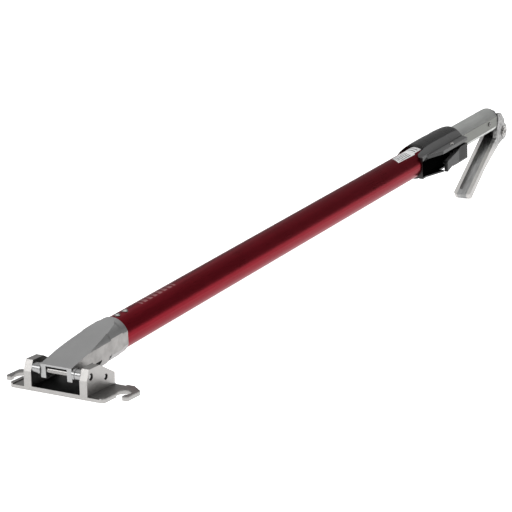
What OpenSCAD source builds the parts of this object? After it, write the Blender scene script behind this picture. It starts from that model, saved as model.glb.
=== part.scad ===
// Telescoping tool handle: a hinged mounting bracket, a machined fork head, an outer and an inner tube,
// a side lock with a trigger, and a brake lever whose pull rod locks the bracket's angle.
// Millimetres, +Z up, +Y from the bracket to the lever, X across.
// The origin lies midway between the two keyholes, on the face the bracket's plate rests on.
// Pieces on the tube are drawn in the tube's own directions: X across, Y along it, Z square to it.

/* [Tubes] */
// Slope of the tube above the ground, in degrees
tube_tilt = 3.77; // [3.5:0.01:4]
// Height of the tube's axis above the plate's front edge
axis_z = 26.2; // [26:0.1:26.4]
// Outside diameter of the outer tube
outer_d = 34.9; // [34.8:0.1:35]
// Wall of the outer tube
outer_wall = 1.5; // [1.3:0.1:1.5]
// Outside diameter of the inner tube
inner_d = 31.2; // [31:0.1:31.4]
// Wall of the inner tube
inner_wall = 1.6; // [1.4:0.1:1.6]

/* [Bracket] */
// Thickness of the plate
plate_t = 4.3; // [4:0.1:4.6]
// Depth of the plate from front to back
plate_depth = 47.5; // [47:0.5:50]
// Half width over the hooks
hook_x = 70.5; // [70:0.5:73]
// Half distance between the keyhole centres
keyhole_x = 59.45; // [59:0.05:60]
// Distance of the keyhole centres from the plate's front edge
keyhole_y = 27; // [26.5:0.1:27.5]
// Radius of a keyhole
keyhole_r = 7.5; // [7:0.1:7.5]
// Half distance between the inner faces of the ears
ear_in = 27.9; // [27.5:0.1:28.2]
// Half distance between the outer faces of the ears
ear_out = 36.5; // [36:0.1:37]

/* [Lever] */
// Width of the lever over its rims
lever_w = 23; // [22.6:0.1:23.4]
// Width of the lever's trough
trough_w = 13; // [13:0.1:13.4]
// Length of the lever from its pivot to its tip
lever_len = 124.8; // [110:0.1:124.8]
// Slope of the lever above the ground, in degrees
lever_slope = 36.1; // [35:0.1:36.1]

/* [Hidden] */
$fn = 64;
hull_fn = 32;
eps = 0.01;
run = 0.06;

outer_r = outer_d / 2;
outer_bore = outer_r - outer_wall;
inner_r = inner_d / 2;
inner_bore = inner_r - inner_wall;
flat_x = 14.1;

// Hinge and rear pin of the bracket, on the ground's directions
hinge_y = 6.8;
hinge_z = 21.55;
hinge_r = 3.5;
rear_y = 31.3;
rear_z = 14.8;
rear_r = 3;
pin_half = ear_out - 1.5;
ear_back = 46.1;
groove_out = 50;
groove_depth = 1.1;

// The same two pins in the tube's directions
hinge_s = hinge_y * cos(tube_tilt) + (hinge_z - axis_z) * sin(tube_tilt);
hinge_w = (hinge_z - axis_z) * cos(tube_tilt) - hinge_y * sin(tube_tilt);
rear_s = rear_y * cos(tube_tilt) + (rear_z - axis_z) * sin(tube_tilt);
rear_w = (rear_z - axis_z) * cos(tube_tilt) - rear_y * sin(tube_tilt);
rear_arm = norm([rear_s - hinge_s, rear_w - hinge_w]);
spacer_r = 4.4;

// Head
head_r = 19.1;
belly_r = 19.7;
head_half = 17.9;
head_front = 2;
head_back = 98.5;
spigot_back = 114;
top_rise = 0.178;
top_start = 1.4;
lug_in = 12.2;

// Brake inside the tube
shaft_w = -6;
shaft_r = 3;
crosshead_s = 85;
shaft_back = 180;
link_half = 3.1;
brake_back = 142;
rod_w = 3;
rod_r = 2.3;
wedge_slope = 0.06;
shoe_s0 = 120;
shoe_s1 = 134;

// Lock housing
tube_back = 838;
house_front = 752;
house_back = 868;
notch_back = 771;
sleeve_bore = outer_r + 0.05;
side_x = 19;
wing_x = 28.6;
wing_top = 10.5;
wing_low = 6.2;
floor_top = -14.4;
floor_low = -16.4;
pivot_x = 24;
pivot_s = 825;
trigger_pin_r = 1.5;
trigger_in = 20.2;
spring_s = 808;
spring_w = -9;
rivet_s = 790;
rivet_r = 1.6;

// Inner tube and what it carries
inner_front = 190;
inner_back = 984;
plug_front = 948;
rod_back = 990;
rod_tube_r = 4.2;
rod_tube_bore = 2.7;

// Lever pivot, on the ground's directions and in the tube's
lever_y = 1010.5;
lever_z = 72;
lever_s = lever_y * cos(tube_tilt) + (lever_z - axis_z) * sin(tube_tilt);
lever_w0 = (lever_z - axis_z) * cos(tube_tilt) - lever_y * sin(tube_tilt);
link_s = 1001.5;
link_r = 1.6;
tongue_half = 6.2;
bolt_r = 3;

// ---- helpers ----

// Puts a piece that is drawn from the plate's front edge in its place
module from_front() {
    translate([0, -keyhole_y, 0]) children();
}

// Puts a piece that is drawn in the tube's directions in its place
module in_tube() {
    translate([0, -keyhole_y, axis_z]) rotate([tube_tilt, 0, 0]) children();
}

// Puts a piece that is drawn along the lever in its place: Y up the lever, Z out of its rims
module in_lever() {
    translate([0, lever_y - keyhole_y, lever_z]) rotate([lever_slope, 0, 0]) children();
}

// Extrudes a section, drawn across X and Z, from y0 to y1
module along(y0, y1) {
    translate([0, y1, 0]) rotate([90, 0, 0]) linear_extrude(y1 - y0) children();
}

// Extrudes a side profile, drawn along Y and Z, from x0 to x1
module side(x0, x1) {
    translate([x0, 0, 0]) rotate([90, 0, 90]) linear_extrude(x1 - x0) children();
}

// Round bar along Y at height z
module bar(r, y0, y1, z = 0) {
    translate([0, y1, z]) rotate([90, 0, 0]) cylinder(r = r, h = y1 - y0);
}

// Round bar along X through the point (y, z)
module cross_bar(r, x0, x1, y, z) {
    translate([x0, y, z]) rotate([0, 90, 0]) cylinder(r = r, h = x1 - x0);
}

module both_sides() {
    children();
    mirror([1, 0, 0]) children();
}

// Helical spring of round wire along Z, swept as one mesh
module coil(r, wire_r, length, turns) {
    sides = 6;
    steps = turns * 16;
    function spoke(i, j) =
        let(a = 360 * turns * i / steps, b = 360 * j / sides, q = r + wire_r * cos(b))
        [q * cos(a), q * sin(a), length * i / steps + wire_r * sin(b)];
    points = [for (i = [0:steps], j = [0:sides - 1]) spoke(i, j)];
    walls = [for (i = [0:steps - 1], j = [0:sides - 1])
        [i * sides + j, i * sides + (j + 1) % sides,
         (i + 1) * sides + (j + 1) % sides, (i + 1) * sides + j]];
    start = [for (j = [0:sides - 1]) sides - 1 - j];
    end = [for (j = [0:sides - 1]) steps * sides + j];
    polyhedron(points, concat(walls, [start, end]));
}

// ---- bracket ----

module plate_outline() {
    difference() {
        union() {
            polygon([
                [-54.5, 3], [-51.5, 0], [51.5, 0], [54.5, 3],
                [54.5, plate_depth], [-54.5, plate_depth]
            ]);
            for (side = [-1, 1]) polygon([
                [side * 50, 18], [side * 66, 16], [side * (hook_x - 1.5), 16], [side * hook_x, 18.5],
                [side * hook_x, 38], [side * 58, plate_depth], [side * 50, plate_depth]
            ]);
        }
        for (side = [-1, 1]) translate([side * keyhole_x, keyhole_y]) {
            circle(r = keyhole_r);
            translate([-4.95, -30]) square([9.9, 30]);
        }
    }
}

module ear_outline() {
    polygon([[0, eps], [0, 18.75], [4.3, 29.45], [21.4, 29.45], [ear_back, 15.5], [ear_back, eps]]);
}

module mount_bracket() {
    color("silver") from_front() difference() {
        union() {
            linear_extrude(plate_t) plate_outline();
            both_sides() side(ear_in, ear_out) ear_outline();
        }
        both_sides() translate([ear_out, -1, plate_t - groove_depth])
            cube([groove_out - ear_out, plate_depth + 2, groove_depth + 1]);
        cross_bar(hinge_r, -40, 40, hinge_y, hinge_z);
        cross_bar(rear_r, -40, 40, rear_y, rear_z);
    }
}

module hinge_pin() {
    color("gainsboro") from_front() cross_bar(hinge_r, -pin_half, pin_half, hinge_y, hinge_z);
}

module rear_pin() {
    color("gainsboro") from_front() cross_bar(rear_r, -pin_half, pin_half, rear_y, rear_z);
}

// Bright collars between the lugs of the head and the ears
module hinge_collars() {
    color("whitesmoke") from_front() both_sides() difference() {
        union() {
            cross_bar(5.6, head_half + 0.3, ear_in, hinge_y, hinge_z);
            cross_bar(6.2, head_half + 0.3, head_half + 3.2, hinge_y, hinge_z);
        }
        cross_bar(hinge_r, head_half, ear_out, hinge_y, hinge_z);
    }
}

// Sleeves that keep the link in the middle of the rear pin
module link_spacers() {
    color("whitesmoke") from_front() both_sides() difference() {
        cross_bar(spacer_r, link_half + 0.3, ear_in, rear_y, rear_z);
        cross_bar(rear_r, 0, ear_out, rear_y, rear_z);
    }
}

// ---- brake linkage in the head ----

module link_outline() {
    reach = norm([crosshead_s - rear_s, shaft_w - rear_w]);
    translate([rear_s, rear_w]) {
        circle(r = 5.2);
        rotate(atan2(shaft_w - rear_w, crosshead_s - rear_s)) {
            translate([0, -3]) square([reach, 6]);
            translate([reach, 0]) circle(r = 3);
        }
    }
}

module brake_link() {
    color("gray") in_tube() difference() {
        side(-link_half, link_half) link_outline();
        cross_bar(rear_r + run, -5, 5, rear_s, rear_w);
    }
}

module brake_shaft() {
    fork_front = crosshead_s - 5;
    fork_end = crosshead_s + 7;
    color("lightgray") in_tube() difference() {
        union() {
            translate([-6, fork_front, shaft_w - 3.8]) cube([12, fork_end + 3 - fork_front, 7.6]);
            bar(shaft_r, fork_end, shaft_back, shaft_w);
        }
        translate([-link_half - 0.4, fork_front - 1, shaft_w - 10]) cube([2 * link_half + 0.8, fork_end - fork_front + 1, 20]);
        cross_bar(2, -8, 8, crosshead_s, shaft_w);
    }
}

// Stub pins of the crosshead, one in each cheek of the fork
module crosshead_pins() {
    color("dimgray") in_tube() both_sides()
        cross_bar(2, link_half + 0.4, 6.3, crosshead_s, shaft_w);
}

// ---- head ----

// Side profile of the head: tilted top, hinge lug, arc for the rear pin, rear lobe and round rear part
module head_profile() {
    difference() {
        union() {
            translate([head_front, -8]) square([head_back - head_front, 27]);
            translate([69.5, -20]) square([head_back - 69.5, 14]);
            translate([34, -12.9]) square([24, 8]);
            translate([58, -5]) circle(r = 7.9);
            intersection() {
                translate([hinge_s, hinge_w]) circle(r = 8.3);
                translate([head_front, -20]) square([20, 20]);
            }
        }
        polygon([[-10, top_start - 10 * top_rise], [120, top_start + 120 * top_rise], [-10, 40]]);
        intersection() {
            translate([hinge_s, hinge_w]) difference() {
                circle(r = rear_arm + spacer_r + 0.5);
                circle(r = rear_arm - spacer_r - 0.5);
            }
            translate([0, -40]) square([60, 40 + hinge_w + 0.9]);
        }
    }
}

module head_bore_profile() {
    ceiling = 7;
    wall = 1.9;
    polygon([
        [0, -40], [66, -40], [66, ceiling],
        [(ceiling - top_start + wall) / top_rise, ceiling], [0, top_start - wall]
    ]);
}

module fork_head() {
    color("darkgray") in_tube() difference() {
        union() {
            intersection() {
                side(-head_half, head_half) head_profile();
                union() {
                    bar(head_r, 0, head_back);
                    bar(belly_r, 69, 88);
                    translate([0, 88 - eps, 0]) rotate([-90, 0, 0])
                        cylinder(r1 = belly_r, r2 = head_r - 1.3, h = head_back - 88 + eps);
                    translate([-head_r, 0, -20]) cube([2 * head_r, 68, 20]);
                }
            }
            bar(outer_bore - 0.05, head_back - eps, spigot_back);
        }
        side(-lug_in, lug_in) head_bore_profile();
        translate([-6.6, 60, shaft_w - 4.6]) cube([13.2, 60, 9.4]);
        side(-link_half - 0.6, link_half + 0.6) polygon([[60, -30], [68, -30], [90, -9.8], [90, -6], [60, 2]]);
        cross_bar(hinge_r + run, -20, 20, hinge_s, hinge_w);
        side(-20, 20) polygon([[41.5, -7], [52.4, -7], [52.2, -7.8], [48.6, -10.6], [41.5, -10.6]]);
        translate([0, 108, 6]) cylinder(r = 1.9, h = 20);
    }
}

// ---- outer tube ----

module outer_tube() {
    color("darkred") in_tube() difference() {
        bar(outer_r, head_back, tube_back);
        bar(outer_bore, head_back - 1, tube_back + 1);
        for (s = [108, 121.6]) translate([0, s, 0]) cylinder(r = 1.9, h = 30);
        translate([0, rivet_s, -outer_r - 1]) cylinder(r = rivet_r, h = 5);
    }
}

// Domed socket screws that hold the head and the brake body in the tube
module tube_screws() {
    color("lightgray") in_tube() for (s = [108, 121.6]) translate([0, s, 0]) difference() {
        union() {
            translate([0, 0, 11]) cylinder(r = 1.9, h = 7);
            intersection() {
                translate([0, 0, outer_r - 1.9]) sphere(r = 4);
                translate([0, 0, outer_r]) cylinder(r = 3.2, h = 5);
            }
        }
        translate([0, 0, outer_r + 1]) cylinder(r = 1.2, h = 5, $fn = 6);
    }
}

// Thin label on top of the tube, stuck on a little askew
module tube_label() {
    color("white") in_tube() intersection() {
        difference() {
            bar(outer_r + 0.12, 700, notch_back - 0.1);
            bar(outer_r + eps, 699, 780);
        }
        linear_extrude(30) polygon([
            [-3, 712.4], [8.8, 706.4], [9.6, 749.8], [8.2, 751.4], [7.9, 780], [-6, 780]
        ]);
    }
}

// Guides the brake shaft and holds the shoe and the wedge
module brake_body() {
    color("dimgray") in_tube() difference() {
        bar(outer_bore - 0.05, spigot_back + 0.5, brake_back);
        bar(shaft_r + run, spigot_back, brake_back + 1, shaft_w);
        translate([-5, 117, shaft_w]) cube([10, 40, 12.3]);
        translate([0, 121.6, 10.5]) cylinder(r = 1.9, h = 20);
    }
}

module brake_shoe() {
    color("saddlebrown") in_tube() side(-4.7, 4.7) polygon([
        [shoe_s0, -2.4], [shoe_s1, -2.4],
        [shoe_s1, 0.7 + wedge_slope * (shoe_s1 - shoe_s0)], [shoe_s0, 0.7]
    ]);
}

module brake_wedge() {
    wedge_low = 0.8;
    wedge_s0 = 118;
    wedge_s1 = 136;
    color("gray") in_tube() side(-4.7, 4.7) polygon([
        [wedge_s0, wedge_low + wedge_slope * (wedge_s0 - shoe_s0)],
        [wedge_s1, wedge_low + wedge_slope * (wedge_s1 - shoe_s0)],
        [wedge_s1, 6], [wedge_s0, 6]
    ]);
}

module front_rod() {
    color("silver") in_tube() bar(rod_r, 136, 762, rod_w);
}

// ---- lock housing ----

// Half section of the moulded sleeve around the tube, swelling behind its front rim
module sleeve_section() {
    polygon([
        [sleeve_bore, house_front], [19.3, house_front], [20.2, 756], [21.3, 766], [22, 780], [22.2, 796],
        [22.1, 815], [21.8, 834], [22.1, 836], [21.8, 850], [21.2, 862], [20.6, 867], [19.9, house_back],
        [inner_r + 0.4, house_back], [inner_r + 0.4, 866.2], [sleeve_bore, 866.2]
    ]);
}

// Outline of the upper and the lower wing, seen from above
module wing_outline(front) {
    polygon([
        [10, front], [17.5, front + 5], [wing_x - 1, front + 36], [wing_x, front + 39],
        [wing_x, 861], [side_x, 866], [10, 866]
    ]);
}

module lock_housing() {
    color([0.07, 0.07, 0.08]) in_tube() difference() {
        union() {
            rotate([-90, 0, 0]) rotate_extrude($fn = 96) sleeve_section();
            difference() {
                union() {
                    translate([0, house_front, floor_low]) cube([side_x, 866 - house_front, 11.8 - floor_low]);
                    translate([0, 0, wing_low]) linear_extrude(wing_top - wing_low) wing_outline(house_front);
                    translate([0, 0, floor_low]) linear_extrude(floor_top - floor_low) difference() {
                        wing_outline(house_front);
                        translate([21.7, 792.3]) square([10, 27]);
                    }
                }
                bar(sleeve_bore + 0.5, house_front - 1, house_back + 1);
            }
        }
        bar(sleeve_bore, house_front - 1, 866.2);
        hull() for (x = [-8.6, 8.5]) translate([x, notch_back - 4, 5]) cylinder(r = 4, h = 30, $fn = hull_fn);
        translate([-25, house_front - 1, -40]) cube([38.5, 12.5, 26.5]);
        translate([-12.6, house_front - 5, 5]) cube([25.1, notch_back - house_front + 1, 30]);
        translate([12, 840, -7.5]) cube([30, 21, 13.2]);
        translate([trigger_in - 0.4, 835.5, floor_top]) cube([12, 26, 18]);
        translate([pivot_x, pivot_s, floor_top]) cylinder(r = 4.2, h = wing_low - floor_top - 2);
        cross_bar(3, side_x, 25, spring_s, spring_w);
        translate([pivot_x, pivot_s, -30]) cylinder(r = trigger_pin_r, h = 60);
        translate([pivot_x, pivot_s, wing_top - 0.8]) cylinder(r = 3.4, h = 10);
        translate([0, rivet_s, -30]) cylinder(r = rivet_r, h = 20);
    }
}

// Liner that the inner tube slides in, keyed to its flat
module mouth_bush() {
    color("ivory") in_tube() difference() {
        bar(outer_r, tube_back + 0.2, 866);
        along(tube_back - 1, 867) inner_section(inner_r + 0.09, flat_x + 0.09);
        translate([0, 840, -7.5]) cube([30, 21, 13.2]);
    }
}

// Blind rivet that pins the housing to the tube from below
module housing_rivet() {
    color("silver") in_tube() translate([0, rivet_s, -outer_r - 5.3]) {
        cylinder(r = rivet_r, h = 6.5);
        translate([0, 0, -0.6]) cylinder(r = 2.8, h = 0.9);
    }
}

// Screw that the trigger turns on
module trigger_pivot() {
    color("lightgray") in_tube() translate([pivot_x, pivot_s, 0]) difference() {
        union() {
            translate([0, 0, floor_low]) cylinder(r = trigger_pin_r, h = wing_top - floor_low);
            translate([0, 0, wing_top - 0.8]) cylinder(r = 2.9, h = 1.6);
        }
        translate([0, 0, wing_top - 0.1]) cylinder(r = 1.3, h = 3, $fn = 6);
    }
}

// Side view of the trigger: a deep finger tab at the front, and a flat rear part
module trigger_side() {
    polygon([
        [795, -17.2], [812, -14.1], [861, -14.1], [861, 3.2], [841, 3.2], [834, 0.4],
        [796.5, -3.9], [794, -5.5], [794, -15.7]
    ]);
}

// Plan of the trigger: the tab's ramp stands out of the housing
module trigger_plan() {
    polygon([
        [22, 836], [27.3, 797], [28, 794], [31, 794], [31.9, 795.5], [31.8, 797.5],
        [wing_x, 836], [wing_x, 861], [trigger_in, 861], [trigger_in, 836]
    ]);
    translate([pivot_x, pivot_s]) circle(r = 3.7);
}

module lock_trigger() {
    color([0.13, 0.13, 0.14]) in_tube() difference() {
        intersection() {
            translate([0, 0, -20]) linear_extrude(30) trigger_plan();
            side(15, 35) trigger_side();
        }
        translate([pivot_x, pivot_s, -30]) cylinder(r = trigger_pin_r + run, h = 60);
        translate([19, 843, -5.5]) cube([4, 14, 9]);
        cross_bar(2.9, 19.9, 24.9, spring_s, spring_w);
    }
}

// Friction shoe that grips the inner tube's flat
module lock_shoe() {
    color("peru") in_tube() translate([flat_x + 0.25, 843, -5.5]) cube([23 - flat_x - 0.25, 14, 9]);
}

module trigger_spring() {
    color("silver") in_tube() translate([side_x + 0.5, spring_s, spring_w]) rotate([0, 90, 0]) coil(2.1, 0.4, 4.6, 4);
}

// ---- inner tube ----

// Round section with one flat, which keeps the tubes from turning
module inner_section(r, flat) {
    intersection() {
        circle(r = r, $fn = 96);
        translate([-30, -30]) square([30 + flat, 60]);
    }
}

module inner_tube() {
    color("gray") in_tube() difference() {
        along(inner_front, inner_back) inner_section(inner_r, flat_x);
        along(inner_front - 1, inner_back + 1) inner_section(inner_bore, flat_x - inner_wall);
        cross_bar(1.6, -20, 20, 961, 0.8);
    }
}

// Plug at the inner tube's front end, which slides in the outer tube
module inner_guide() {
    color("ivory") in_tube() difference() {
        union() {
            bar(outer_bore - 0.09, inner_front - 4, inner_front);
            along(inner_front - eps, inner_front + 16) inner_section(inner_bore - 0.05, flat_x - inner_wall - 0.05);
        }
        bar(rod_tube_r + 0.3, inner_front - 5, inner_front + 17, rod_w);
    }
}

// Plug in the back of the inner tube, with the tongue that carries the lever
module tongue_outline() {
    translate([lever_s, lever_w0]) circle(r = 7.4);
    polygon([
        [inner_back - 2, -12.2], [inner_back - 2, -3.4], [992, -4.5], [1001, -9.5],
        [1011, -13.6], [lever_s + 5, -17], [1006, -25.4], [inner_back + 0.3, -12.5]
    ]);
}

module end_plug() {
    color("lightgray") in_tube() difference() {
        union() {
            along(plug_front, inner_back) inner_section(inner_bore - 0.05, flat_x - inner_wall - 0.05);
            side(-tongue_half, tongue_half) tongue_outline();
        }
        bar(rod_tube_r + 0.3, plug_front - 1, inner_back + 1, rod_w);
        bar(8.2, plug_front - 1, 974, rod_w);
        cross_bar(bolt_r, -20, 20, lever_s, lever_w0);
        cross_bar(1.6, -20, -10, 961, 0.8);
        cross_bar(1.6, 10, 20, 961, 0.8);
    }
}

// Dark ring that covers the tube's end
module end_ring() {
    color([0.2, 0.2, 0.2]) in_tube() difference() {
        along(inner_back, inner_back + 2.4) inner_section(inner_r - 0.2, flat_x - 0.2);
        bar(rod_tube_r + 0.6, inner_back - 1, inner_back + 4, rod_w);
        translate([-tongue_half - 0.1, inner_back - 1, -20]) cube([2 * tongue_half + 0.2, 5, 17]);
    }
}

// Countersunk screws that hold the plug
module end_screws() {
    color("silver") in_tube() for (side = [0, 1]) mirror([side, 0, 0]) {
        face = side == 0 ? flat_x : inner_r;
        difference() {
            union() {
                cross_bar(1.6, 10.2, face + 0.2, 961, 0.8);
                cross_bar(2.9, face + 0.05, face + 0.9, 961, 0.8);
            }
            translate([face + 0.3, 961, 0.8]) rotate([0, 90, 0]) cylinder(r = 1.3, h = 3, $fn = 6);
        }
    }
}

module lever_bolt() {
    x_head = lever_w / 2 + 0.25;
    color("silver") in_tube() difference() {
        union() {
            cross_bar(bolt_r, -x_head - 3, x_head, lever_s, lever_w0);
            cross_bar(7.2, x_head, x_head + 0.7, lever_s, lever_w0);
            cross_bar(4.8, x_head, x_head + 1.9, lever_s, lever_w0);
        }
        translate([x_head + 0.6, lever_s, lever_w0]) rotate([0, 90, 0]) cylinder(r = 2.4, h = 4, $fn = 6);
    }
}

module lever_nut() {
    x_face = lever_w / 2 + 0.25;
    color("silver") in_tube() difference() {
        translate([-x_face - 3, lever_s, lever_w0]) rotate([0, 90, 0]) cylinder(r = 5.4, h = 3, $fn = 6);
        cross_bar(bolt_r, -20, -5, lever_s, lever_w0);
    }
}

// ---- pull rod ----

// Tube that slides over the front rod as the handle is drawn out
module rod_tube() {
    color("silver") in_tube() difference() {
        bar(rod_tube_r, 197, rod_back, rod_w);
        bar(rod_tube_bore, 196, rod_back + 1, rod_w);
    }
}

// Flat eye at the rod's back end; its hole is tall, because the lever's pin swings
module rod_end() {
    rise = 2.2;
    pin_r = link_r + 0.3;
    color("lightgray") in_tube() difference() {
        union() {
            bar(rod_tube_bore, rod_back - 16, rod_back, rod_w);
            side(-3, 3) {
                translate([rod_back, rod_w - 3.2]) square([link_s - rod_back, 6.4]);
                for (z = [0, rise]) translate([link_s, rod_w + z - 0.3]) circle(r = 4.1);
            }
        }
        for (z = [0, rise]) cross_bar(pin_r, -5, 5, link_s, rod_w + z);
        translate([-5, link_s - pin_r, rod_w]) cube([10, 2 * pin_r, rise]);
    }
}

module rod_collar() {
    color("gray") in_tube() difference() {
        bar(7.6, 949, 952, rod_w);
        bar(rod_tube_r, 948, 953, rod_w);
    }
}

module return_spring() {
    color("silver") in_tube() translate([0, 952.7, rod_w]) rotate([-90, 0, 0]) coil(6, 0.6, 20.4, 7);
}

// ---- lever ----

// Side view of the lever: rims straight, back swelling to the pivot, cheek up to the link pin
module lever_profile() {
    tip = -lever_len;
    polygon([
        [tip, 8.6], [tip + 1.5, 9.5], [-22, 9.5], [-10, 20], [-3, 26.5], [-0.5, 33.2], [8.5, 25.6],
        [10.6, 13], [8, 0], [-4, -9.6], [-17, -4.4], [-44, -0.9], [-69, 1.6], [tip + 2, 1.2], [tip, 2.5]
    ]);
}

// Side view of the trough and of the space between the cheeks
module trough_profile() {
    polygon([
        [-116, 5.2], [-69, 5.2], [-44, 2.7], [-17, -0.6], [-8, -4.5], [0, -9], [20, -9],
        [20, 50], [-116, 50]
    ]);
}

module brake_lever() {
    half = lever_w / 2;
    trough = trough_w / 2;
    color("lightgray") in_lever() difference() {
        union() {
            side(-half, half) lever_profile();
            cross_bar(10.9, -half, half, 0, 0);
        }
        intersection() {
            side(-trough, trough) trough_profile();
            union() {
                translate([-trough, -112, -20]) cube([2 * trough, 150, 80]);
                translate([-2, -116, -20]) cube([4, 10, 80]);
                for (x = [-1, 1]) translate([x * (trough - 4.5), -111.5, -20]) cylinder(r = 4.5, h = 80);
            }
        }
        cross_bar(bolt_r + run, -20, 20, 0, 0);
        both_sides() translate([half, -lever_len, -5]) rotate([0, 0, 45]) cube([4, 4, 30], center = true);
        in_lever_link();
    }
}

// Hole for the link pin, at the rod's height
module in_lever_link() {
    rel_s = link_s - lever_s;
    rel_w = rod_w - lever_w0;
    turn = lever_slope - tube_tilt;
    cross_bar(link_r, -20, 20, rel_s * cos(turn) + rel_w * sin(turn), rel_w * cos(turn) - rel_s * sin(turn));
}

module link_pin() {
    color("silver") in_tube() cross_bar(link_r, -lever_w / 2 - 0.3, lever_w / 2 + 0.3, link_s, rod_w);
}

mount_bracket();
hinge_pin();
rear_pin();
hinge_collars();
link_spacers();
brake_link();
brake_shaft();
crosshead_pins();
fork_head();
outer_tube();
tube_screws();
tube_label();
brake_body();
lock_housing();
mouth_bush();
housing_rivet();
trigger_pivot();
trigger_spring();
brake_wedge();
front_rod();
brake_shoe();
lock_trigger();
lock_shoe();
inner_tube();
inner_guide();
end_plug();
end_ring();
end_screws();
lever_bolt();
lever_nut();
rod_tube();
rod_end();
rod_collar();
return_spring();
brake_lever();
link_pin();
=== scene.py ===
"""Looks for the extendable box handle: materials, floor, light and camera."""

import math

import bpy
from mathutils import Matrix, Vector

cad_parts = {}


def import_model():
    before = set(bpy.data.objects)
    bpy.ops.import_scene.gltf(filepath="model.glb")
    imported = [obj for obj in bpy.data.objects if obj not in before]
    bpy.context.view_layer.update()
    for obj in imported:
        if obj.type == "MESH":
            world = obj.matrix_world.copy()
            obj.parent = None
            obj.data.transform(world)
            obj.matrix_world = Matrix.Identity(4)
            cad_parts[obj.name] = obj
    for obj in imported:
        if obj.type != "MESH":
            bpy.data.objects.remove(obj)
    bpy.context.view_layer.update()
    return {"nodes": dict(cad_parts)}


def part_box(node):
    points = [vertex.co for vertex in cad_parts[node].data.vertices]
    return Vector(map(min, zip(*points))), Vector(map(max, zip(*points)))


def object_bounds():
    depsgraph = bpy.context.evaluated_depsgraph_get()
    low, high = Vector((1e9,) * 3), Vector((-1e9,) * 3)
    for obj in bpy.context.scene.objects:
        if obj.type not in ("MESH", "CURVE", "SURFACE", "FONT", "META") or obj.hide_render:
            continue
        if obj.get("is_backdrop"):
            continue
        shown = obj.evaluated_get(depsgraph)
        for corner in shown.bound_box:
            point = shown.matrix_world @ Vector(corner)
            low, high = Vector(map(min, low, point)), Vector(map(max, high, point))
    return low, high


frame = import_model()

scene = bpy.context.scene
MM = 0.001
TILT = math.radians(3.77)  # slope of the tube above the floor
EDGE = 0.35 * MM  # radius of the broken edges
TUBE_Y, TUBE_Z = -27 * MM, 26.2 * MM  # where the tube's directions start from

# Places that the colours follow, in millimetres from the frame's origin or along the tube
PLATE_TOP = 4.3
PLATE_FRONT = -27
EAR_IN = 27.9
HEAD_SLOPE, HEAD_START = 0.178, 1.4  # the head's top wall: rise per mm back, height at the front
HEAD_SIDE = 17.9
CAVITY_SIDE = 12.2
CAVITY_END = 69  # the cavity's back end along the tube
FLAT_X = 14.0
WING_TOP = 10.5
WING_GAP = (-14.5, 6.1)  # heights of the recess between the wings
TRIGGER_RAMP = (796.5, 836)  # the trigger's flat rear part along the tube
TROUGH_SIDE = 6.4
PIN_INSET = 1.0  # depth of the painted shade and painted highlight at a pin's end


def middle(node):
    lo, hi = (Vector(corner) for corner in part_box(node))
    return lo.lerp(hi, 0.5)


PIVOT = middle("lever_nut")  # the lever turns here


# ---- node helpers ----


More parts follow.
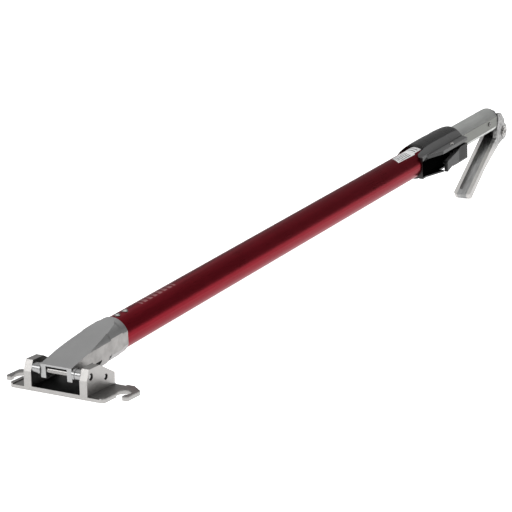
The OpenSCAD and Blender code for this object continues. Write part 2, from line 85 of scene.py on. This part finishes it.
class Nodes:
    """A short way to write a material's node tree."""

    def __init__(self, name):
        self.mat = bpy.data.materials.new(name)
        self.mat.use_nodes = True
        self.tree = self.mat.node_tree
        self.bsdf = self.tree.nodes["Principled BSDF"]
        self.coords = self.add("ShaderNodeTexCoord").outputs["Object"]

    def add(self, kind, **settings):
        node = self.tree.nodes.new(kind)
        for key, value in settings.items():
            setattr(node, key, value)
        return node

    def link(self, source, target):
        self.tree.links.new(source, target)

    def put(self, socket, value):
        if hasattr(value, "is_output"):
            self.link(value, socket)
        else:
            socket.default_value = value

    def set(self, **values):
        for key, value in values.items():
            self.put(self.bsdf.inputs[key.replace("_", " ")], value)

    def math(self, op, a, b=0.0):
        node = self.add("ShaderNodeMath", operation=op)
        self.put(node.inputs[0], a)
        self.put(node.inputs[1], b)
        return node.outputs[0]

    def mapped(self, scale=(1, 1, 1), rotation=(0, 0, 0)):
        node = self.add("ShaderNodeMapping")
        self.link(self.coords, node.inputs["Vector"])
        node.inputs["Scale"].default_value = scale
        node.inputs["Rotation"].default_value = rotation
        return node.outputs[0]

    def noise(self, vector, scale, detail=4.0, rough=0.55):
        node = self.add("ShaderNodeTexNoise")
        self.link(vector, node.inputs["Vector"])
        node.inputs["Scale"].default_value = scale
        node.inputs["Detail"].default_value = detail
        node.inputs["Roughness"].default_value = rough
        return node.outputs["Fac"]

    def ramp(self, fac, *stops):
        node = self.add("ShaderNodeValToRGB")
        self.link(fac, node.inputs["Fac"])
        elements = node.color_ramp.elements
        while len(elements) < len(stops):
            elements.new(0.5)
        for element, (position, colour) in zip(elements, stops):
            element.position = position
            element.color = (*colour, 1.0)
        return node.outputs["Color"]

    def span(self, fac, lo, hi, to_lo=0.0, to_hi=1.0):
        node = self.add("ShaderNodeMapRange")
        keys = ("Value", "From Min", "From Max", "To Min", "To Max")
        for key, value in zip(keys, (fac, lo, hi, to_lo, to_hi)):
            self.put(node.inputs[key], value)
        return node.outputs[0]

    def mix(self, fac, a, b):
        node = self.add("ShaderNodeMix", data_type="RGBA")
        self.put(node.inputs["Factor"], fac)
        self.put(node.inputs[6], (*a, 1.0) if isinstance(a, tuple) else a)
        self.put(node.inputs[7], (*b, 1.0) if isinstance(b, tuple) else b)
        return node.outputs[2]

    def blend(self, fac, a, b):
        node = self.add("ShaderNodeMix", data_type="FLOAT")
        self.put(node.inputs["Factor"], fac)
        self.put(node.inputs[2], a)
        self.put(node.inputs[3], b)
        return node.outputs[0]

    def bump(self, height, strength, distance):
        node = self.add("ShaderNodeBump")
        node.inputs["Strength"].default_value = strength
        node.inputs["Distance"].default_value = distance
        self.link(height, node.inputs["Height"])
        edge = self.add("ShaderNodeBevel", samples=4)
        edge.inputs["Radius"].default_value = EDGE
        self.link(edge.outputs[0], node.inputs["Normal"])
        self.link(node.outputs[0], self.bsdf.inputs["Normal"])

    # Places on the object, in millimetres

    def measure(self, direction, origin=(0, 0, 0)):
        """Distance from origin along a direction."""
        node = self.add("ShaderNodeVectorMath", operation="DOT_PRODUCT")
        self.link(self.coords, node.inputs[0])
        node.inputs[1].default_value = tuple(c / MM for c in direction)
        shift = -sum(d * o for d, o in zip(direction, origin)) / MM
        return self.math("ADD", node.outputs["Value"], shift)

    def x(self):
        return self.measure((1, 0, 0))

    def s(self):
        return self.measure((0, math.cos(TILT), math.sin(TILT)), (0, TUBE_Y, TUBE_Z))

    def w(self):
        return self.measure((0, -math.sin(TILT), math.cos(TILT)), (0, TUBE_Y, TUBE_Z))

    def above(self, value, level, soft=0.1):
        return self.span(value, level - soft, level + soft)

    def between(self, value, lo, hi, soft=0.1):
        below = self.span(value, hi - soft, hi + soft, 1.0, 0.0)
        return self.math("MULTIPLY", self.above(value, lo, soft), below)

    def both(self, *masks):
        out = masks[0]
        for mask in masks[1:]:
            out = self.math("MULTIPLY", out, mask)
        return out

    def stripes(self, value, period, filled):
        return self.math("LESS_THAN", self.math("FRACT", self.math("DIVIDE", value, period)), filled)


def grey(v):
    return (v, v, v)


def warm(v):
    return (v, v * 0.975, v * 0.95)


def metal(name, low, high, rough=(0.25, 0.4), stretch=(1, 1, 1), turn=0.0, grain=900.0, bump=0.15):
    """Metal with a directional grain: stretch squeezes the grain along the brushing direction."""
    m = Nodes(name)
    along = m.mapped(stretch, (turn, 0, 0))
    fine = m.noise(along, grain, 3.0, 0.6)
    broad = m.noise(m.mapped(), 28.0, 3.0, 0.5)
    mixed = m.math("ADD", m.math("MULTIPLY", fine, 0.6), m.math("MULTIPLY", broad, 0.4))
    m.colour = m.ramp(mixed, (0.3, low), (0.7, high))
    m.rough = m.span(mixed, 0.3, 0.7, rough[0], rough[1])
    m.set(Base_Color=m.colour, Metallic=1.0, Roughness=m.rough)
    m.bump(fine, bump, 0.0002)
    return m


def plastic(name, low, high, rough=(0.3, 0.45), specular=0.5, grain=2600.0, bump=0.1):
    """Moulded plastic with a fine spark-eroded texture."""
    m = Nodes(name)
    fine = m.noise(m.mapped(), grain, 2.0, 0.5)
    broad = m.noise(m.mapped(), 40.0, 4.0, 0.6)
    m.colour = m.ramp(broad, (0.35, low), (0.65, high))
    m.rough = m.span(broad, 0.35, 0.65, rough[0], rough[1])
    m.set(Base_Color=m.colour, Roughness=m.rough, Specular_IOR_Level=specular)
    m.bump(fine, bump, 0.0001)
    return m


def shade(m, mask, colour, rough=None):
    """Changes a material's colour, and its roughness, where the mask is 1."""
    m.colour = m.mix(mask, m.colour, colour)
    m.set(Base_Color=m.colour)
    if rough is not None:
        m.rough = m.blend(mask, m.rough, rough)
        m.set(Roughness=m.rough)


def paint(m, *nodes):
    for n in nodes:
        o = frame["nodes"][n]
        o.data.materials.clear()
        o.data.materials.append(m.mat)


# ---- materials ----


def bracket_material():
    """Milled aluminium, with painted shade between the ears."""
    m = metal("machined_aluminium", warm(0.31), warm(0.41), (0.26, 0.42), (1, 14, 1), 0.0, 700.0, 0.14)
    x = m.math("ABSOLUTE", m.x())
    y = m.measure((0, 1, 0))
    z = m.measure((0, 0, 1))
    behind = m.above(y, PLATE_FRONT + 0.3)
    milled = m.both(m.between(z, PLATE_TOP - 1.3, PLATE_TOP + 0.3), behind)
    passes = m.noise(m.mapped((30, 1, 1)), 60.0, 3.0, 0.6)
    shade(m, milled, m.ramp(passes, (0.3, warm(0.2)), (0.7, warm(0.3))), 0.42)
    between_ears = m.span(x, EAR_IN - 0.1, EAR_IN + 0.3, 1.0, 0.0)
    # painted shade: the surfaces inside between the ears coloured near-black
    inside_shade = m.both(between_ears, behind, m.above(z, PLATE_TOP - 1.3))
    shade(m, inside_shade, grey(0.012), 0.5)
    return m


def head_material():
    """Satin aluminium outside, painted shade in the cavity under the top wall and on the side flats."""
    m = metal("head_aluminium", grey(0.31), grey(0.41), (0.36, 0.5), (1, 10, 1), -TILT, 800.0, 0.3)
    x = m.math("ABSOLUTE", m.x())
    s = m.s()
    top = m.math("ADD", m.math("MULTIPLY", s, HEAD_SLOPE), HEAD_START)
    under_top = m.above(m.math("SUBTRACT", top, m.w()), 1.2)
    between_lugs = m.span(x, CAVITY_SIDE - 0.1, CAVITY_SIDE + 0.2, 1.0, 0.0)
    # painted shade: the cavity under the top wall coloured near-black
    cavity_shade = m.both(between_lugs, m.between(s, 2.4, CAVITY_END), under_top)
    shade(m, cavity_shade, grey(0.012), 0.5)
    # painted shade: the side flats coloured darker than the top; the patchy tone is the flats' own
    side_shade_patches = m.ramp(m.noise(m.mapped(), 90.0), (0.3, warm(0.25)), (0.7, warm(0.35)))
    shade(m, m.above(x, HEAD_SIDE - 0.04, 0.03), side_shade_patches, 0.42)
    return m


def red_material():
    """Clear red anodising with a lightly etched bar mark near the front."""
    low, high = (0.165, 0.006, 0.012), (0.22, 0.009, 0.018)
    m = metal("red_anodised", low, high, (0.26, 0.34), (1, 0.05, 1), -TILT, 900.0, 0.05)
    m.set(Specular_Tint=(0.85, 0.72, 0.74, 1.0))
    s = m.s()
    field = m.both(m.between(s, 147, 210), m.between(m.x(), -4.5, 3.5), m.above(m.w(), 0))
    mark = m.both(field, m.stripes(s, 9.0, 0.62))
    shade(m, m.math("MULTIPLY", mark, 0.75), (0.5, 0.26, 0.26))
    return m


def inner_material():
    """Satin drawn tube with a milled flat, the flat painted darker as shade."""
    low, high = (0.5, 0.51, 0.5), (0.62, 0.63, 0.61)
    m = metal("inner_aluminium", low, high, (0.42, 0.52), (1, 0.06, 1), -TILT, 900.0, 0.1)
    # painted shade: the milled flat coloured darker than the round
    shade(m, m.above(m.x(), FLAT_X - 0.05, 0.05), (0.17, 0.174, 0.16), 0.42)
    return m


def label_material():
    """Printed label: rows of grey bars in place of text."""
    m = plastic("label_white", grey(0.93), grey(0.98), (0.45, 0.55), 0.3)
    s, x = m.s(), m.x()
    words = m.math("GREATER_THAN", m.noise(m.mapped((60, 1, 1), (-TILT, 0, 0)), 240.0, 1.0, 0.4), 0.42)
    lines = m.stripes(m.math("ADD", x, 3.0), 2.5, 0.45)
    rows = m.both(lines, m.between(x, -2.4, 8.0), m.between(s, 711, 742), words)
    bars = m.stripes(m.math("ADD", s, 1.0), 7.0, 0.32)
    heading = m.both(bars, m.between(x, -3.5, 6.5), m.between(s, 750, 767))
    shade(m, rows, grey(0.05))
    shade(m, heading, grey(0.02))
    return m


def housing_material():
    """Black moulded plastic: satin wings with painted light on their tops, painted shade in the recess
    between them.
    """
    m = plastic("black_plastic", grey(0.006), grey(0.011), (0.24, 0.34))
    x, w = m.x(), m.w()
    # painted shade: the recess wall between the wings coloured darkest, rough, with its specular level
    # lowered
    recess_shade = m.both(m.above(x, 18.6), m.between(w, *WING_GAP), m.span(x, 28.3, 28.5, 1.0, 0.0))
    shade(m, recess_shade, grey(0.001), 0.95)
    m.set(Specular_IOR_Level=m.math("SUBTRACT", 0.5, m.math("MULTIPLY", recess_shade, 0.5)))
    # painted light: the wing tops coloured lighter than the rest
    wing_top_light = m.both(m.above(w, WING_TOP - 0.1, 0.05), m.above(x, 12))
    shade(m, wing_top_light, grey(0.1), 0.5)
    return m


def trigger_material():
    """Black plastic, painted light on its outer rear face, duller on the tab."""
    m = plastic("trigger_plastic", grey(0.005), grey(0.01), (0.45, 0.55), 0.3)
    # painted light: the outer face over TRIGGER_RAMP coloured paler
    shade(m, m.both(m.between(m.s(), *TRIGGER_RAMP), m.above(m.x(), 20)), grey(0.05), 0.5)
    m.set(Specular_IOR_Level=m.span(m.s(), 786, 796, 0.12, 0.3))
    return m


def lever_material():
    """Tumbled casting, greyer in the trough and marked around the pivot."""
    m = metal("lever_cast", warm(0.42), warm(0.56), (0.36, 0.5), (1, 1, 1), 0.0, 1400.0, 0.2)
    trough = m.span(m.math("ABSOLUTE", m.x()), TROUGH_SIDE - 0.1, TROUGH_SIDE + 0.2, 1.0, 0.0)
    streaks = m.ramp(m.noise(m.mapped((8, 1, 1)), 70.0), (0.3, grey(0.22)), (0.7, grey(0.37)))
    shade(m, trough, streaks, 0.45)
    cheek = m.span(m.measure((0, 0, 1), (0, 0, PIVOT.z)), -22, -10)
    marks = m.ramp(m.noise(m.mapped(), 260.0, 5.0, 0.7), (0.4, grey(0.12)), (0.6, grey(0.38)))
    shade(m, m.math("MULTIPLY", cheek, 0.8), marks)
    return m


def ground_steel(name):
    return metal(name, warm(0.22), warm(0.34), (0.2, 0.32), (14, 1, 1), 0.0, 800.0, 0.08)


def pin_material(name, node):
    """Ground pin: at each end a ring of painted shade, standing for a chamfer, round a painted
    highlight at the centre.
    """
    m = ground_steel(name)
    lo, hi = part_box(node)
    radius = (hi[2] - lo[2]) / 2 / MM
    across = m.math("POWER", m.measure((0, 1, 0), middle(node)), 2)
    up = m.math("POWER", m.measure((0, 0, 1), middle(node)), 2)
    out = m.math("SQRT", m.math("ADD", across, up))
    end = m.above(m.math("ABSOLUTE", m.x()), hi[0] / MM - PIN_INSET)
    # painted shade: a near-black ring at each end, standing for a chamfer
    shade(m, m.both(end, m.above(out, radius * 0.62)), grey(0.01), 0.6)
    # painted highlight: a bright centre at each end
    shade(m, m.both(end, m.span(out, radius * 0.4, radius * 0.55, 1.0, 0.0)), grey(0.6), 0.4)
    return m


def pivot_material():
    """Bright pin head, painted shade on the shank in the housing's recess."""
    m = metal("pivot_steel", warm(0.7), warm(0.85), (0.15, 0.28))
    # painted shade: the shank below the wing top coloured black
    shade(m, m.span(m.w(), WING_TOP - 0.3, WING_TOP - 0.1, 1.0, 0.0), grey(0.004), 0.9)
    return m


bracket_metal = bracket_material()
pin_metal = ground_steel("ground_steel")
chrome = metal("chrome", grey(0.27), grey(0.35), (0.22, 0.32), (1, 6, 6), 0.0, 500.0, 0.05)
zinc = metal("zinc_plate", (0.42, 0.42, 0.43), (0.56, 0.56, 0.57), (0.3, 0.45))
head_metal = head_material()
red = red_material()
inner_metal = inner_material()
lever_metal = lever_material()
end_screw_metal = metal("black_oxide_steel", warm(0.1), warm(0.18), (0.2, 0.32))
screw_metal = metal("screw_steel", warm(0.3), warm(0.44), (0.2, 0.3))
pivot_metal = pivot_material()
spring_metal = metal("spring_steel", grey(0.05), grey(0.09), (0.4, 0.5))
black = housing_material()
trigger_black = trigger_material()
bush = plastic("acetal", (0.7, 0.67, 0.6), (0.78, 0.75, 0.68), (0.4, 0.5))
lining = plastic("lining", (0.13, 0.08, 0.05), (0.2, 0.13, 0.08), (0.7, 0.85), 0.3, 1200.0, 0.5)
end_black = plastic("end_black", grey(0.02), grey(0.04), (0.5, 0.6))
white = label_material()

paint(bracket_metal, "mount_bracket")
paint(pin_material("hinge_pin_steel", "hinge_pin"), "hinge_pin")
paint(pin_material("rear_pin_steel", "rear_pin"), "rear_pin")
paint(pin_metal, "brake_shaft", "crosshead_pins", "link_pin")
paint(chrome, "hinge_collars", "link_spacers")
paint(zinc, "brake_link", "brake_body", "brake_wedge", "rod_end", "rod_collar", "front_rod", "rod_tube")
paint(head_metal, "fork_head")
paint(red, "outer_tube")
paint(inner_metal, "inner_tube")
paint(lever_metal, "brake_lever", "end_plug")
paint(screw_metal, "tube_screws", "housing_rivet", "lever_bolt", "lever_nut")
paint(pivot_metal, "trigger_pivot")
paint(end_screw_metal, "end_screws")
paint(spring_metal, "trigger_spring", "return_spring")
paint(black, "lock_housing")
paint(trigger_black, "lock_trigger")
paint(bush, "mouth_bush", "inner_guide")
paint(lining, "brake_shoe", "lock_shoe")
paint(end_black, "end_ring")
paint(white, "tube_label")


# ---- floor, light and camera ----


def floor():
    mesh = bpy.data.meshes.new("floor")
    a = 12.0
    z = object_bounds()[0].z - 0.0002
    mesh.from_pydata([(-a, -a, z), (a, -a, z), (a, a, z), (-a, a, z)], [], [(0, 1, 2, 3)])
    o = bpy.data.objects.new("floor", mesh)
    scene.collection.objects.link(o)
    m = Nodes("floor_white")
    spots = m.ramp(m.noise(m.mapped(), 6.0, 2.0, 0.5), (0.3, grey(0.9)), (0.7, grey(0.92)))
    m.set(Base_Color=spots, Roughness=0.9, Specular_IOR_Level=0.1)
    m.set(Emission_Color=(1, 1, 1, 1), Emission_Strength=0.93)
    mesh.materials.append(m.mat)
    o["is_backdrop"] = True


def area(name, at, target, size, power):
    light = bpy.data.lights.new(name, "AREA")
    light.shape = "RECTANGLE"
    light.size, light.size_y = size
    light.energy = power
    o = bpy.data.objects.new(name, light)
    o.location = at
    o.rotation_euler = (Vector(target) - Vector(at)).to_track_quat("-Z", "Y").to_euler()
    scene.collection.objects.link(o)


def world():
    """Dim studio walls and a bright ceiling."""
    w = bpy.data.worlds.new("studio")
    scene.world = w
    w.use_nodes = True
    tree = w.node_tree
    back = tree.nodes["Background"]
    back.inputs["Color"].default_value = (1, 1, 1, 1)
    coords = tree.nodes.new("ShaderNodeTexCoord")
    split = tree.nodes.new("ShaderNodeSeparateXYZ")
    lift = tree.nodes.new("ShaderNodeMapRange")
    lift.interpolation_type = "SMOOTHSTEP"
    for key, value in (("From Min", 0.66), ("From Max", 0.9), ("To Min", 0.3), ("To Max", 1.3)):
        lift.inputs[key].default_value = value
    tree.links.new(coords.outputs["Generated"], split.inputs[0])
    tree.links.new(split.outputs["Z"], lift.inputs["Value"])
    tree.links.new(lift.outputs[0], back.inputs["Strength"])


def camera():
    cam = bpy.data.cameras.new("camera")
    cam.lens = 148.5
    cam.clip_start, cam.clip_end = 0.05, 60.0
    o = bpy.data.objects.new("camera", cam)
    look = Vector((-0.49011, 0.83337, -0.25549))
    turn = look.to_track_quat("-Z", "Y").to_matrix() @ Matrix.Rotation(math.radians(-0.764), 3, "Z")
    o.matrix_world = Matrix.Translation((1.1242, -1.5623, 0.6335)) @ turn.to_4x4()
    scene.collection.objects.link(o)
    scene.camera = o


floor()
world()
area("key", (-1.9, -2.6, 1.5), (0, 0.3, 0), (1.3, 1.3), 25.0)
area("top_left", (-1.6, 2.2, 2.1), (0, 0.4, 0), (1.6, 1.4), 3.2)
camera()
scene.view_settings.view_transform = "Standard"
